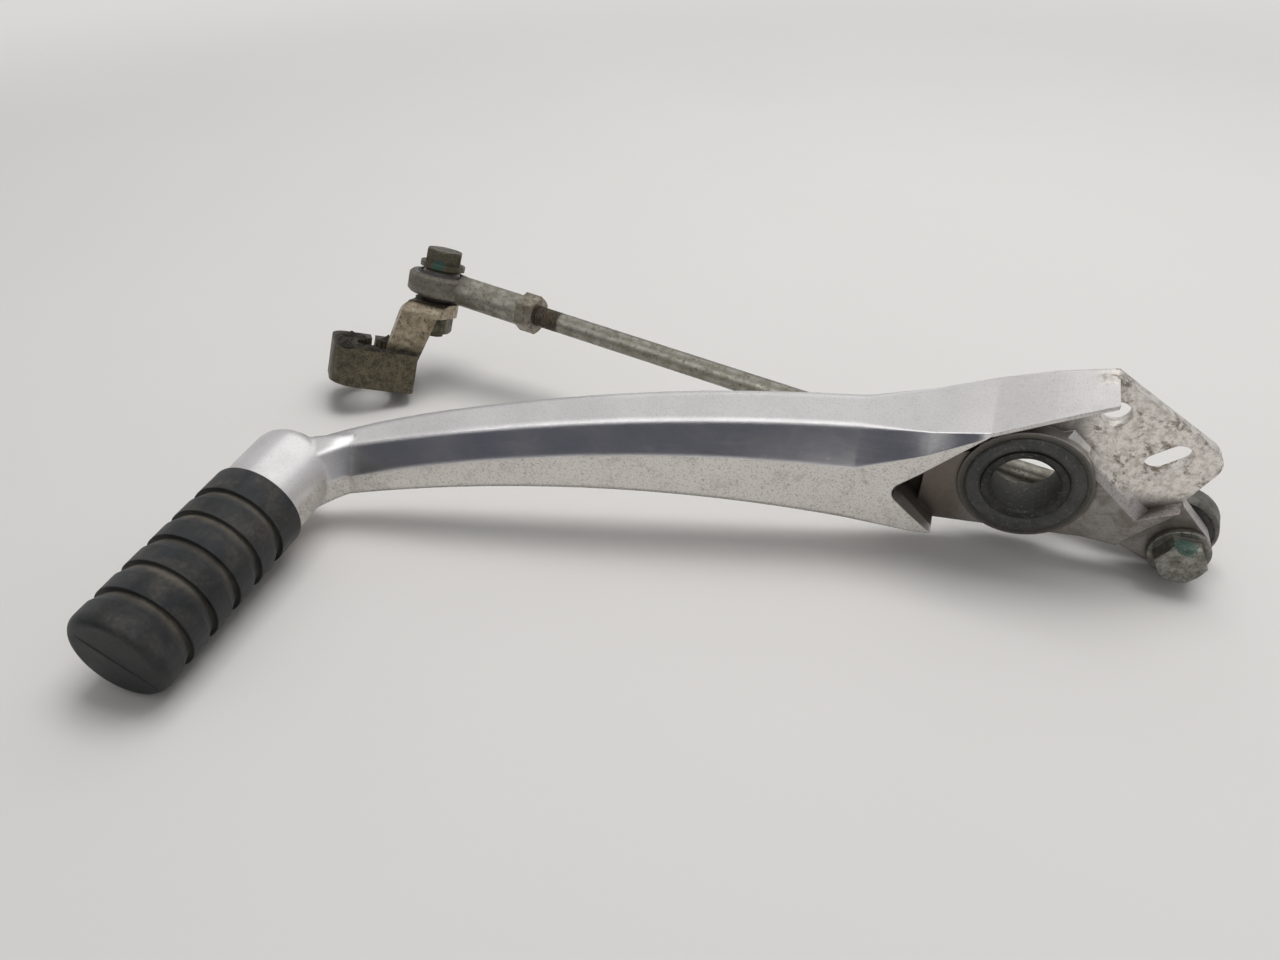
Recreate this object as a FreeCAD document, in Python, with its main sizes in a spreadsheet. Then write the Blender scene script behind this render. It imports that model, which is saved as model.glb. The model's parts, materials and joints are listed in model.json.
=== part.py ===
import FreeCAD, Part
import math
import os
from types import SimpleNamespace

import Sketcher

# Gear shift linkage: a forged pedal on a pivot hub, its rubber, a tie rod between two ball joints
# and the cranked arm that clamps on the shift shaft.
# Frame: X from the peg to the rear joint, Y inboard along the pivot axis, Z up, millimetres.
# The origin is the middle of the pivot bush.

Vector = FreeCAD.Vector

SIZES = {
    # pivot hub, bush and dust seals
    "hub_radius": 17.9,
    "hub_half_width": 6.4,
    "bush_radius": 11.5,
    "bush_bore_radius": 9.0,
    "bush_half_length": 6.8,
    "bush_chamfer": 0.8,
    "seal_radius": 16.0,
    "seal_width": 3.2,
    "seal_proud": 0.6,
    "seal_inner_chamfer": 1.4,
    "press_clearance": 0.02,
    # web, fin and lug at the rear of the pedal
    "web_face": -5.6,
    "plate_front": -2.0,
    "plate_back": 2.0,
    "web_left": -27.0,
    "web_left_low": -18.4,
    "web_left_top": 4.0,
    "keel_along": 18.6,
    "keel_low": -14.7,
    "step_foot_along": 28.1,
    "step_foot_low": -15.4,
    "fin_heel_along": 40.7,
    "fin_heel_height": 0.9,
    "valley_along": 33.4,
    "valley_height": -4.0,
    "bevel_head_along": 8.4,
    "bevel_head_height": 18.0,
    "bevel_width": 3.6,
    "fin_corner_along": 47.5,
    "fin_corner_height": 16.0,
    "fin_corner_round": 6.0,
    "fin_root_along": 6.0,
    "fin_hole_along": 16.7,
    "fin_hole_height": 25.1,
    "fin_hole_radius": 3.8,
    "slot_along": 33.0,
    "slot_height": 13.4,
    "slot_half_length": 6.2,
    "slot_half_width": 3.5,
    "slot_end_round": 3.4,
    "slot_turn": 41.6,
    "lug_along": 44.3,
    "lug_height": -14.1,
    "lug_radius": 8.0,
    "lug_face": -4.0,
    # arm from the peg boss to the neck: front face, lower edge, facet edge, ridge and crown
    "arm_peg_along": -190.0,
    "arm_neck_along": -46.0,
    "arm_peg_front": -47.0,
    "arm_neck_front": -17.2,
    "arm_peg_low": -18.5,
    "arm_mid_low": -10.2,
    "arm_neck_low": -15.0,
    "arm_peg_facet": -11.8,
    "arm_mid_facet": 1.7,
    "arm_neck_facet": 3.1,
    "arm_peg_ridge": -2.6,
    "arm_mid_ridge": 11.2,
    "arm_neck_ridge": 15.3,
    "arm_peg_crown": 0.3,
    "arm_mid_crown": 15.0,
    "arm_neck_crown": 20.0,
    "ridge_setback": 4.0,
    "arm_peg_depth": 6.0,
    "arm_mid_depth": 8.2,
    "arm_neck_depth": 8.2,
    # flare of the arm where it grows out of the peg boss
    "root_swell": 11.0,
    "root_mid_swell": 3.0,
    "root_spread": 1.2,
    "root_mid_spread": 0.4,
    "root_sink": 0.3,
    "root_back_inset": 3.4,
    # head of the arm over the hub, four sections from the neck to the fin
    "cheek_along": -28.0,
    "cheek_front": -15.2,
    "cheek_low": -17.0,
    "cheek_facet": 10.6,
    "cheek_ridge": 16.4,
    "cheek_crown": 22.8,
    "cheek_back": 0.0,
    "brow_along": -13.0,
    "brow_front": -12.0,
    "brow_low": -18.5,
    "brow_facet": 17.4,
    "brow_ridge": 19.0,
    "brow_crown": 28.0,
    "roof_along": 1.0,
    "roof_front": -12.0,
    "roof_low": -18.0,
    "roof_facet": 25.4,
    "roof_ridge": 26.8,
    "roof_crown": 33.0,
    "tail_along": 14.5,
    "tail_front": -12.0,
    "tail_low": -15.0,
    "tail_facet": 32.6,
    "tail_ridge": 34.0,
    "tail_crown": 36.3,
    # pocket in front of the hub
    "pocket_foot_along": -14.0,
    "pocket_foot_low": -25.0,
    "pocket_corner_along": -36.7,
    "pocket_corner_height": -3.5,
    "pocket_corner_round": 4.0,
    "pocket_mouth": -30.0,
    "roof_lip": 1.2,
    # peg boss, stub and rubber
    "peg_along": -209.5,
    "peg_height": -12.6,
    "boss_radius": 13.2,
    "boss_outer": -66.6,
    "boss_inner": -41.8,
    "boss_round": 6.5,
    "stub_radius": 9.0,
    "stub_length": 53.6,
    "stub_chamfer": 1.0,
    "rubber_radius": 14.2,
    "rubber_cap": 6.0,
    "rubber_end_round": 3.0,
    "rubber_groove_radius": 12.7,
    "rubber_first_ring": 9.1,
    "rubber_last_land": 11.2,
    "rubber_ring_fall": 4.0,
    # bolts and nuts
    "bolt_radius": 4.0,
    "bolt_clearance": 0.2,
    "thread_clearance": 0.02,
    "flange_radius": 8.0,
    "flange_thick": 1.8,
    "hex_across": 12.0,
    "hex_height": 4.8,
    "hex_chamfer": 1.1,
    "bolt_tail": 1.5,
    "nut_height": 6.5,
    "lock_nut_height": 6.5,
    # ball joints
    "ball_radius": 7.94,
    "eye_chamfer": 1.0,
    "ball_half_width": 6.0,
    "ball_clearance": 0.05,
    "race_radius": 9.8,
    "eye_radius": 11.4,
    "eye_half_width": 3.8,
    "boot_inner_radius": 7.3,
    "boot_outer_radius": 8.6,
    "boot_height": 0.6,
    # tie rod
    "rod_centres": 254.8,
    "rod_splay": 9.3,
    "rod_rise": 3.2,
    "rod_radius": 3.55,
    "rod_neck_radius": 5.6,
    "rod_neck_end": 15.0,
    "rod_neck_taper": 8.0,
    "rod_thread_radius": 3.4,
    "rod_thread_shown": 8.5,
    "rod_thread_hidden": 15.0,
    "shank_radius": 5.4,
    "shank_end": 36.0,
    # shift arm, seen along the front bolt, the shaft's pinch slit pointing back
    "joint_lean": 24.0,
    "arm_turn": 43.0,
    "pad_radius": 8.0,
    "pad_thick": 5.0,
    "strip_head_left": -13.0,
    "strip_head_right": 0.5,
    "strip_foot_left": -17.2,
    "strip_foot_right": -5.4,
    "strip_front": -11.2,
    "strip_corner_round": 6.0,
    "clamp_across": -20.0,
    "clamp_reach": -4.0,
    "clamp_top": -24.9,
    "clamp_height": 14.4,
    "clamp_left": 15.0,
    "clamp_right": 14.5,
    "clamp_front": 10.5,
    "clamp_back": 13.0,
    "clamp_front_round": 9.0,
    "clamp_back_round": 6.0,
    "clamp_corner_round": 3.0,
    "clamp_bore_radius": 7.0,
    "clamp_slit_width": 1.6,
    "pinch_hole_radius": 2.4,
    "pinch_hole_back": 9.6,
}


class Size:
    """A number together with the sheet expression that gives it."""

    def __init__(self, text, value):
        self.text = text
        self.value = float(value)

    def _join(self, sign, other, value):
        return Size("(%s %s %s)" % (self.text, sign, as_size(other).text), value)

    def __add__(self, other):
        return self._join("+", other, self.value + as_size(other).value)

    def __sub__(self, other):
        return self._join("-", other, self.value - as_size(other).value)

    def __mul__(self, other):
        return self._join("*", other, self.value * as_size(other).value)

    def __truediv__(self, other):
        return self._join("/", other, self.value / as_size(other).value)

    def __neg__(self):
        return self * -1.0


def as_size(number):
    return number if isinstance(number, Size) else Size("(%r)" % float(number), number)


def root(size):
    return Size("sqrt(%s)" % size.text, math.sqrt(size.value))


def turned(size, angle):
    """The two components of a length that is turned by an angle in degrees."""
    lean = math.radians(angle.value)
    across = Size("(%s * cos(%s * 1deg))" % (size.text, angle.text), size.value * math.cos(lean))
    up = Size("(%s * sin(%s * 1deg))" % (size.text, angle.text), size.value * math.sin(lean))
    return across, up


def fill_sheet():
    for row, (alias, value) in enumerate(SIZES.items(), start=1):
        cell = "A%d" % row
        sheet.set(cell, str(value))
        sheet.setAlias(cell, alias)
    doc.recompute()


def bind(item, prop, size):
    item.setExpression(prop, as_size(size).text)


# Sketches

def new_sketch(body, name, role, offset=0.0):
    plane = next(item for item in body.Origin.OriginFeatures if item.Role == role)
    sketch = body.newObject("Sketcher::SketchObject", name)
    sketch.AttachmentSupport = [(plane, "")]
    sketch.MapMode = "FlatFace"
    bind(sketch, "AttachmentOffset.Base.z", offset)
    return sketch


def constrain(sketch, kind, refs, size):
    size = as_size(size)
    index = sketch.addConstraint(Sketcher.Constraint(kind, *refs, size.value))
    sketch.setExpression("Constraints[%d]" % index, size.text)


def locate(sketch, geometry, point, across, up):
    """Pins a sketch point by its distances from the sketch origin."""
    for kind, axis, size in (("DistanceX", -2, across), ("DistanceY", -1, up)):
        if as_size(size).value == 0.0:
            sketch.addConstraint(Sketcher.Constraint("PointOnObject", geometry, point, axis))
        else:
            constrain(sketch, kind, (-1, 1, geometry, point), size)


def trimmed(corner, other, cut):
    step = other.sub(corner)
    return corner.add(step.multiply(cut / step.Length))


def corner_arc(before, corner, after, radius):
    """Where the round at a corner leaves its two sides, and the arc between them."""
    first = before.sub(corner)
    second = after.sub(corner)
    half = first.getAngle(second) / 2.0
    start = trimmed(corner, before, radius / math.tan(half))
    end = trimmed(corner, after, radius / math.tan(half))
    middle = first.normalize().add(second.normalize()).normalize()
    centre = corner.add(middle.multiply(radius / math.sin(half)))
    left_turn = corner.sub(before).cross(after.sub(corner)).z > 0.0
    ends = (start, end) if left_turn else (end, start)
    angles = [math.atan2(spot.y - centre.y, spot.x - centre.x) for spot in ends]
    circle = Part.Circle(centre, Vector(0, 0, 1), radius)
    return start, end, left_turn, Part.ArcOfCircle(circle, angles[0], angles[1])


def outline(sketch, corners, rounds=None):
    """Draws a closed outline; rounds gives the radius of each corner that has one."""
    rounds = rounds or {}
    count = len(corners)
    spots = [Vector(as_size(across).value, as_size(up).value, 0) for across, up in corners]
    arcs = {}
    for index, radius in rounds.items():
        near = (spots[index - 1], spots[index], spots[(index + 1) % count])
        arcs[index] = corner_arc(*near, as_size(radius).value)
    sides = []
    for index in range(count):
        following = (index + 1) % count
        start = arcs[index][1] if index in arcs else spots[index]
        end = arcs[following][0] if following in arcs else spots[following]
        sides.append(sketch.addGeometry(Part.LineSegment(start, end)))
    for index, (across, up) in enumerate(corners):
        before = sides[index - 1]
        after = sides[index]
        if index not in arcs:
            sketch.addConstraint(Sketcher.Constraint("Coincident", before, 2, after, 1))
            locate(sketch, after, 1, across, up)
            continue
        left_turn, arc = arcs[index][2:]
        bend = sketch.addGeometry(arc)
        first, last = (1, 2) if left_turn else (2, 1)
        sketch.addConstraint(Sketcher.Constraint("Tangent", before, 2, bend, first))
        sketch.addConstraint(Sketcher.Constraint("Tangent", bend, last, after, 1))
        constrain(sketch, "Radius", (bend,), rounds[index])
        tip = sketch.addGeometry(Part.Point(spots[index]), True)
        sketch.addConstraint(Sketcher.Constraint("PointOnObject", tip, 1, before))
        sketch.addConstraint(Sketcher.Constraint("PointOnObject", tip, 1, after))
        locate(sketch, tip, 1, across, up)


def circle(sketch, across, up, radius):
    centre = Vector(as_size(across).value, as_size(up).value, 0)
    ring = sketch.addGeometry(Part.Circle(centre, Vector(0, 0, 1), as_size(radius).value))
    constrain(sketch, "Radius", (ring,), radius)
    locate(sketch, ring, 3, across, up)


def hexagon(sketch, across_flats):
    corner = across_flats / math.sqrt(3.0)
    turns = [math.radians(60.0 * step) for step in range(6)]
    outline(sketch, [(corner * round(math.cos(turn), 9), corner * round(math.sin(turn), 9))
                     for turn in turns])


# Features

def new_body(label):
    body = doc.addObject("PartDesign::Body", label)
    body.Label = label
    bodies.append(body)
    return body


def feature(body, kind, name, sketch):
    item = body.newObject("PartDesign::" + kind, name)
    item.Profile = sketch
    return item


def pad(body, name, role, start, length, draw):
    """Draws on a plane at a distance from the origin and extrudes along the plane's normal."""
    sketch = new_sketch(body, name + "_outline", role, start)
    draw(sketch)
    item = feature(body, "Pad", name, sketch)
    bind(item, "Length", length)
    return item


def cut(body, name, role, start, length, draw):
    """Draws on a plane and removes material against the plane's normal."""
    before = solid_volume(body)
    sketch = new_sketch(body, name + "_outline", role, start)
    draw(sketch)
    item = feature(body, "Pocket", name, sketch)
    bind(item, "Length", length)
    if solid_volume(body) >= before:
        raise RuntimeError(name + " cuts nothing")
    return item


def solid_volume(body):
    doc.recompute()
    return body.Shape.Volume


def pad_y(body, name, front, back, draw):
    """Extrudes an X-Z outline between two Y positions; the plane's normal points outboard."""
    return pad(body, name, "XZ_Plane", -as_size(back), as_size(back) - front, draw)


def cut_y(body, name, front, back, draw):
    """Removes an X-Z outline between two Y positions."""
    return cut(body, name, "XZ_Plane", -as_size(front), as_size(back) - front, draw)


def revolve(body, name, role, axis, corners, rounds=None, kind="Revolution", place=None):
    """Turns an outline about one of its sketch axes."""
    before = solid_volume(body) if kind == "Groove" else 0.0
    sketch = new_sketch(body, name + "_outline", role)
    for prop, size in (place or {}).items():
        bind(sketch, "AttachmentOffset.Base." + prop, size)
    outline(sketch, corners, rounds)
    item = feature(body, kind, name, sketch)
    item.ReferenceAxis = (sketch, [axis])
    item.Angle = 360.0
    if kind == "Groove" and solid_volume(body) >= before:
        raise RuntimeError(name + " cuts nothing")
    return item


def round_edges(body, name, radius, wanted):
    """Rounds the edges of a body's last feature that a test picks out."""
    doc.recompute()
    last = body.Tip
    names = ["Edge%d" % number for number, edge in enumerate(last.Shape.Edges, start=1) if wanted(edge)]
    if not names:
        raise RuntimeError(name + " finds no edge")
    item = body.newObject("PartDesign::Fillet", name)
    item.Base = (last, names)
    bind(item, "Radius", radius)
    return item


def loft(body, name, sketches):
    item = feature(body, "AdditiveLoft", name, sketches[0])
    item.Sections = sketches[1:]
    return item


# Pedal

def along_arm(share, peg, mid, neck):
    """A smooth curve through its values at the peg, half way and at the neck."""
    return (peg * ((1 - share) * (1 - 2 * share)) + mid * (4 * share * (1 - share))
            + neck * (share * (2 * share - 1)))


def arm_section(body, name, along, front, low, facet, ridge, crown, setback, back):
    """Five-sided section: lower facet, middle facet, top facet, back and underside."""
    sketch = new_sketch(body, name, "YZ_Plane", along)
    outline(sketch, [(front, low), (back, low), (back, crown), (front + setback, ridge), (front, facet)])
    return sketch


def arm_station(body, name, share, swell, spread, inset):
    """Section of the arm at a share of its length, grown to the front and up and down, its back set in."""
    front = s.arm_peg_front * (1 - share) + s.arm_neck_front * share
    return arm_section(
        body, name,
        s.arm_peg_along * (1 - share) + s.arm_neck_along * share,
        front - swell,
        along_arm(share, s.arm_peg_low, s.arm_mid_low, s.arm_neck_low) - spread,
        along_arm(share, s.arm_peg_facet, s.arm_mid_facet, s.arm_neck_facet),
        along_arm(share, s.arm_peg_ridge, s.arm_mid_ridge, s.arm_neck_ridge) + spread,
        along_arm(share, s.arm_peg_crown, s.arm_mid_crown, s.arm_neck_crown) + spread,
        s.ridge_setback,
        front + s.ridge_setback + along_arm(share, s.arm_peg_depth, s.arm_mid_depth, s.arm_neck_depth) - inset)


def arm_sections(body):
    plain = as_size(0.0)
    sections = [arm_station(body, "arm_section_1", -0.09, plain, plain, s.root_back_inset)]
    for number, share in enumerate((0.1, 0.325, 0.55, 0.775, 1.0), start=2):
        sections.append(arm_station(body, "arm_section_%d" % number, share, plain, plain, plain))
    return sections


def root_sections(body):
    """Sections that flare from the arm into the peg boss."""
    return [arm_station(body, "root_section_1", -0.1, s.root_swell, s.root_spread, s.root_back_inset),
            arm_station(body, "root_section_2", -0.05, s.root_mid_swell, s.root_mid_spread, s.root_back_inset),
            arm_station(body, "root_section_3", 0.0, -s.root_sink, -s.root_sink, s.root_back_inset)]


def head_sections(body):
    """Sections from the neck, over the hub, to where the fin begins."""
    sections = [arm_section(
        body, "neck_section", s.arm_neck_along, s.arm_neck_front, s.arm_neck_low, s.arm_neck_facet,
        s.arm_neck_ridge, s.arm_neck_crown, s.ridge_setback,
        s.arm_neck_front + s.ridge_setback + s.arm_neck_depth)]
    sections.append(arm_section(
        body, "cheek_section", s.cheek_along, s.cheek_front, s.cheek_low, s.cheek_facet,
        s.cheek_ridge, s.cheek_crown, s.ridge_setback * 0.75, s.cheek_back))
    for name in ("brow", "roof", "tail"):
        along, front, low, facet, ridge, crown = (
            getattr(s, name + "_" + part) for part in ("along", "front", "low", "facet", "ridge", "crown"))
        sections.append(arm_section(
            body, name + "_section", along, front, low, facet, ridge, crown,
            s.ridge_setback * 0.05, s.plate_back))
    return sections


def pocket_outline(sketch):
    corners = [(s.pocket_foot_along, s.pocket_foot_low),
               (s.tail_along + s.tail_along, s.pocket_foot_low),
               (s.tail_along + s.tail_along, s.tail_ridge - s.roof_lip + s.tail_ridge - s.roof_ridge),
               (s.tail_along, s.tail_ridge - s.roof_lip),
               (s.roof_along, s.roof_ridge - s.roof_lip),
               (s.brow_along, s.brow_ridge - s.roof_lip),
               (s.pocket_corner_along, s.pocket_corner_height)]
    outline(sketch, corners, {6: s.pocket_corner_round})


def web_outline(sketch, bevel):
    """Raised body round the hub; its fin side slopes back by the bevel."""
    outline(sketch, [
        (s.web_left, s.web_left_low),
        (s.keel_along, s.keel_low),
        (s.step_foot_along, s.step_foot_low),
        (s.fin_heel_along - bevel * 0.2, s.fin_heel_height - bevel * 0.4),
        (s.valley_along - bevel * 0.9, s.valley_height - bevel * 0.5),
        (s.bevel_head_along - bevel * 0.66, s.bevel_head_height - bevel * 0.75),
        (s.web_left, s.web_left_top)])


def lug_low():
    return s.lug_along - s.lug_radius * 0.42, s.lug_height - s.lug_radius * 0.907


def lug_right():
    return s.lug_along + s.lug_radius * 0.713, s.lug_height + s.lug_radius * 0.701


def plate_outline(sketch):
    """Flat plate behind the web: fin above, lug below."""
    corners = [(s.fin_root_along, s.keel_low - 1.0),
               (s.keel_along, s.keel_low),
               (s.step_foot_along, s.step_foot_low),
               lug_low(),
               lug_right(),
               (s.fin_heel_along, s.fin_heel_height),
               (s.fin_corner_along, s.fin_corner_height),
               (s.tail_along, s.tail_crown - 0.1),
               (s.fin_root_along, s.roof_ridge)]
    outline(sketch, corners, {6: s.fin_corner_round})


def lug_outline(sketch):
    outline(sketch, [(s.step_foot_along, s.step_foot_low), lug_low(), lug_right(),
                     (s.fin_heel_along, s.fin_heel_height)])


def slot_outline(sketch):
    half_x, half_z = turned(s.slot_half_length, s.slot_turn)
    side_x, side_z = turned(s.slot_half_width, s.slot_turn)
    corners = [(s.slot_along - half_x + side_z, s.slot_height - half_z - side_x),
               (s.slot_along + half_x + side_z, s.slot_height + half_z - side_x),
               (s.slot_along + half_x - side_z, s.slot_height + half_z + side_x),
               (s.slot_along - half_x - side_z, s.slot_height - half_z + side_x)]
    outline(sketch, corners, {index: s.slot_end_round for index in range(4)})


def ring(across, up, radius):
    return lambda sketch: circle(sketch, across, up, radius)


def build_pedal_arm():
    body = new_body("pedal_arm")
    revolve(body, "peg_boss", "XY_Plane", "V_Axis",
            [(0, s.boss_outer - s.stub_length),
             (s.stub_radius - s.stub_chamfer, s.boss_outer - s.stub_length),
             (s.stub_radius, s.boss_outer - s.stub_length + s.stub_chamfer),
             (s.stub_radius, s.boss_outer),
             (s.boss_radius, s.boss_outer),
             (s.boss_radius, s.boss_inner),
             (0, s.boss_inner)],
            {5: s.boss_round}, place={"x": s.peg_along, "z": s.peg_height})
    loft(body, "arm", arm_sections(body))
    loft(body, "root", root_sections(body))
    loft(body, "head", head_sections(body)).Ruled = True
    cut_y(body, "pocket", s.pocket_mouth, s.plate_front, pocket_outline)
    pad_y(body, "plate", s.plate_front, s.plate_back, plate_outline)
    pad_y(body, "lug", s.lug_face, s.plate_back, lug_outline)
    pad_y(body, "lug_end", s.lug_face, s.plate_back, ring(s.lug_along, s.lug_height, s.lug_radius))
    web_back = new_sketch(body, "web_back", "XZ_Plane", -s.plate_front)
    web_outline(web_back, as_size(0.0))
    web_front = new_sketch(body, "web_front", "XZ_Plane", -s.web_face)
    web_outline(web_front, s.bevel_width)
    loft(body, "web", [web_back, web_front]).Ruled = True
    pad_y(body, "hub", -s.hub_half_width, s.hub_half_width, ring(0, 0, s.hub_radius))
    seat = s.hub_half_width + s.seal_proud
    cut_y(body, "hub_bore", -seat, seat, ring(0, 0, s.bush_radius + s.press_clearance))
    for name, front, back in (("front_seal_seat", -seat, -seat + s.seal_width),
                              ("rear_seal_seat", seat - s.seal_width, seat)):
        cut_y(body, name, front, back, ring(0, 0, s.seal_radius + s.press_clearance))
    cut_y(body, "joint_hole", s.lug_face, s.plate_back,
          ring(s.lug_along, s.lug_height, s.bolt_radius + s.bolt_clearance))
    cut_y(body, "fin_hole", s.plate_front, s.plate_back,
          ring(s.fin_hole_along, s.fin_hole_height, s.fin_hole_radius))
    cut_y(body, "fin_slot", s.plate_front, s.plate_back, slot_outline)


def build_rubber():
    """Ribbed sleeve, closed at the outer end; each rib has a sharp outer edge and a falling inner one."""
    body = new_body("pedal_rubber")
    bore = s.stub_radius + s.press_clearance
    outer_end = s.boss_outer - s.stub_length - s.rubber_cap
    corners = [(bore, s.boss_outer), (s.rubber_radius, s.boss_outer)]
    pitch = (s.stub_length + s.rubber_cap - s.rubber_first_ring - s.rubber_last_land) / 4.0
    for rib in range(5):
        edge = s.boss_outer - s.rubber_first_ring - pitch * rib
        corners += [(s.rubber_radius, edge),
                    (s.rubber_groove_radius, edge),
                    (s.rubber_radius, edge - s.rubber_ring_fall)]
    corners += [(s.rubber_radius, outer_end), (0, outer_end)]
    rounded = len(corners) - 2
    cap = s.boss_outer - s.stub_length - s.press_clearance
    corners += [(0, cap), (bore, cap)]
    revolve(body, "sleeve", "XY_Plane", "V_Axis", corners, {rounded: s.rubber_end_round})
    bind(body, "Placement.Base.x", s.peg_along)
    bind(body, "Placement.Base.z", s.peg_height)


def build_bush():
    body = new_body("pivot_bush")
    end = s.bush_half_length
    chamfer = s.bush_chamfer
    revolve(body, "tube", "XY_Plane", "V_Axis",
            [(s.bush_bore_radius + chamfer, -end), (s.bush_radius, -end), (s.bush_radius, end),
             (s.bush_bore_radius + chamfer, end), (s.bush_bore_radius, end - chamfer),
             (s.bush_bore_radius, -end + chamfer)])


def build_seal(label, side):
    """Dust seal seated in one end of the hub, with a sloped inner edge."""
    body = new_body(label)
    face = (s.hub_half_width + s.seal_proud) * side
    seat = face - s.seal_width * side
    inner = s.bush_radius + s.press_clearance
    slope = s.seal_inner_chamfer
    edge = s.seal_proud
    revolve(body, "ring", "XY_Plane", "V_Axis",
            [(inner, seat), (s.seal_radius, seat), (s.seal_radius, face - edge * side),
             (s.seal_radius - edge, face), (inner + slope, face), (inner, face - slope * side * 0.6)])


# Fasteners, modelled along Z with the bearing face at zero

def chamfer_hex(body, name, top):
    """Turns the corners of a hexagon off at its top face."""
    flat = s.hex_across / 2.0
    reach = flat * 1.3
    revolve(body, name, "XZ_Plane", "V_Axis",
            [(flat, top), (reach, top), (reach, top - s.hex_chamfer)], kind="Groove")


def build_bolt(label, grip):
    """Flanged hexagon bolt, head up, shank down."""
    body = new_body(label)
    length = grip + s.nut_height + s.bolt_tail
    top = s.flange_thick + s.hex_height
    pad(body, "flange", "XY_Plane", 0.0, s.flange_thick, ring(0, 0, s.flange_radius))
    pad(body, "head", "XY_Plane", s.flange_thick, s.hex_height, lambda sketch: hexagon(sketch, s.hex_across))
    pad(body, "shank", "XY_Plane", -length, length, ring(0, 0, s.bolt_radius))
    chamfer_hex(body, "head_chamfer", top)
    return body


def build_nut(label, height, bore):
    body = new_body(label)
    pad(body, "blank", "XY_Plane", 0.0, height, lambda sketch: hexagon(sketch, s.hex_across))
    chamfer_hex(body, "corner_chamfer", height)
    cut(body, "bore", "XY_Plane", height, height, ring(0, 0, bore))
    return body


# Ball joints, modelled along Z with the ball's centre at zero

def build_ball(label):
    """Sphere cut flat at both ends and bored for the bolt."""
    body = new_body(label)
    half = s.ball_half_width
    rim = root(s.ball_radius * s.ball_radius - half * half)
    bore = s.bolt_radius + s.bolt_clearance
    turn_arc(body, "ball", [(bore, -half), (rim, -half), (rim, half), (bore, half)], 1, s.ball_radius)
    return body


def build_race(label):
    """Ring with a hollow spherical seat for the ball."""
    body = new_body(label)
    half = s.eye_half_width
    seat = s.ball_radius + s.ball_clearance
    rim = root(seat * seat - half * half)
    turn_arc(body, "race", [(s.race_radius, -half), (s.race_radius, half), (rim, half), (rim, -half)], 2, seat)
    return body


def turn_arc(body, name, corners, bowed, radius):
    sketch = new_sketch(body, name + "_outline", "XZ_Plane")
    arc_outline(sketch, corners, bowed, radius)
    item = feature(body, "Revolution", name, sketch)
    item.ReferenceAxis = (sketch, ["V_Axis"])
    item.Angle = 360.0


def arc_outline(sketch, corners, bowed, radius):
    """Closed outline whose side number bowed is an arc about the sketch origin."""
    spots = [Vector(as_size(across).value, as_size(up).value, 0) for across, up in corners]
    sides = []
    for index, start in enumerate(spots):
        end = spots[(index + 1) % len(spots)]
        shape = Part.LineSegment(start, end)
        if index == bowed:
            low = min(start, end, key=lambda spot: spot.y)
            turn = math.atan2(low.y, low.x)
            shape = Part.ArcOfCircle(Part.Circle(Vector(), Vector(0, 0, 1), radius.value), turn, -turn)
        sides.append(sketch.addGeometry(shape))
    upward = spots[(bowed + 1) % len(spots)].y > spots[bowed].y
    ends = {bowed: (1, 2) if upward else (2, 1)}
    for index, (across, up) in enumerate(corners):
        before = sides[index - 1]
        after = sides[index]
        leave = ends.get((index - 1) % len(spots), (1, 2))[1]
        enter = ends.get(index, (1, 2))[0]
        sketch.addConstraint(Sketcher.Constraint("Coincident", before, leave, after, enter))
        if index == (bowed + 1) % len(spots):
            constrain(sketch, "DistanceY", (-1, 1, after, 1), up)
        elif index == bowed:
            constrain(sketch, "DistanceY", (-1, 1, before, 2), up)
        else:
            locate(sketch, after, enter, across, up)
    arc = sides[bowed]
    sketch.addConstraint(Sketcher.Constraint("Coincident", arc, 3, -1, 1))
    constrain(sketch, "Radius", (arc,), radius)


def build_boot(label, side):
    """Rubber lip on one face of a joint eye."""
    body = new_body(label)
    foot = s.eye_half_width * side
    top = foot + s.boot_height * side
    revolve(body, "lip", "XZ_Plane", "V_Axis",
            [(s.boot_inner_radius, foot), (s.boot_outer_radius, foot),
             (s.boot_outer_radius - s.boot_height * 0.6, top), (s.boot_inner_radius, top)])
    return body


def cut_race_seat(body):
    cut(body, "race_seat", "XY_Plane", s.eye_half_width, s.eye_half_width * 2.0,
        ring(0, 0, s.race_radius + s.press_clearance))


def turn_eye(body):
    """Solid eye blank with chamfered rims."""
    half = s.eye_half_width
    edge = s.eye_chamfer
    revolve(body, "eye", "XZ_Plane", "V_Axis",
            [(0, -half), (s.eye_radius - edge, -half), (s.eye_radius, -half + edge),
             (s.eye_radius, half - edge), (s.eye_radius - edge, half), (0, half)])


def build_tie_rod():
    """Plain rod with a forged eye at the rear and a thread at the front."""
    body = new_body("tie_rod")
    nut_end = s.rod_centres - s.shank_end - s.lock_nut_height
    thread_start = nut_end - s.rod_thread_shown
    thread_end = s.rod_centres - s.shank_end + s.rod_thread_hidden
    turn_eye(body)
    revolve(body, "rod", "XY_Plane", "H_Axis",
            [(s.race_radius, 0), (s.race_radius, s.rod_neck_radius), (s.rod_neck_end, s.rod_neck_radius),
             (s.rod_neck_end + s.rod_neck_taper, s.rod_radius), (thread_start, s.rod_radius),
             (thread_start, s.rod_thread_radius), (thread_end, s.rod_thread_radius), (thread_end, 0)])
    cut_race_seat(body)
    return body


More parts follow.
